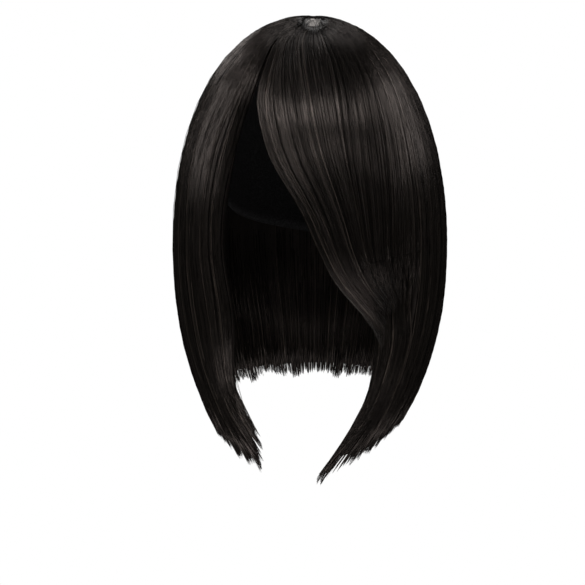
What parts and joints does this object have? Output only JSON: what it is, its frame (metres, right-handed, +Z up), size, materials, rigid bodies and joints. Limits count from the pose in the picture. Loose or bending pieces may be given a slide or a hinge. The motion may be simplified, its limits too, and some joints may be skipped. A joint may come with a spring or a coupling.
{
  "type": "bob wig",
  "caption": "Straight near-black A-line bob wig with a side-swept fringe, curtains that frame the face and end in points, a skin-coloured parting and a stretch cap.",
  "frame": {"origin": "the inside of the cap at the crown, where it sits on the top of the head", "axes": "+Z up, the wearer looks along -Y, and +X is the wearer's left"},
  "size_m": [0.1996, 0.2149, 0.3345],
  "materials": {
    "hair": "smooth straight synthetic hair, near-black, with a silky sheen",
    "cap_net": "matt black stretch net",
    "skin": "matt skin-coloured parting patch"
  },
  "bodies": {
    "root": {"cap": "cap_net", "skin_top": "skin", "fringe": "hair", "face_lock_right": "hair", "side_right": "hair", "back": "hair", "side_left": "hair", "face_lock_left": "hair"}
  },
  "joints": []
}
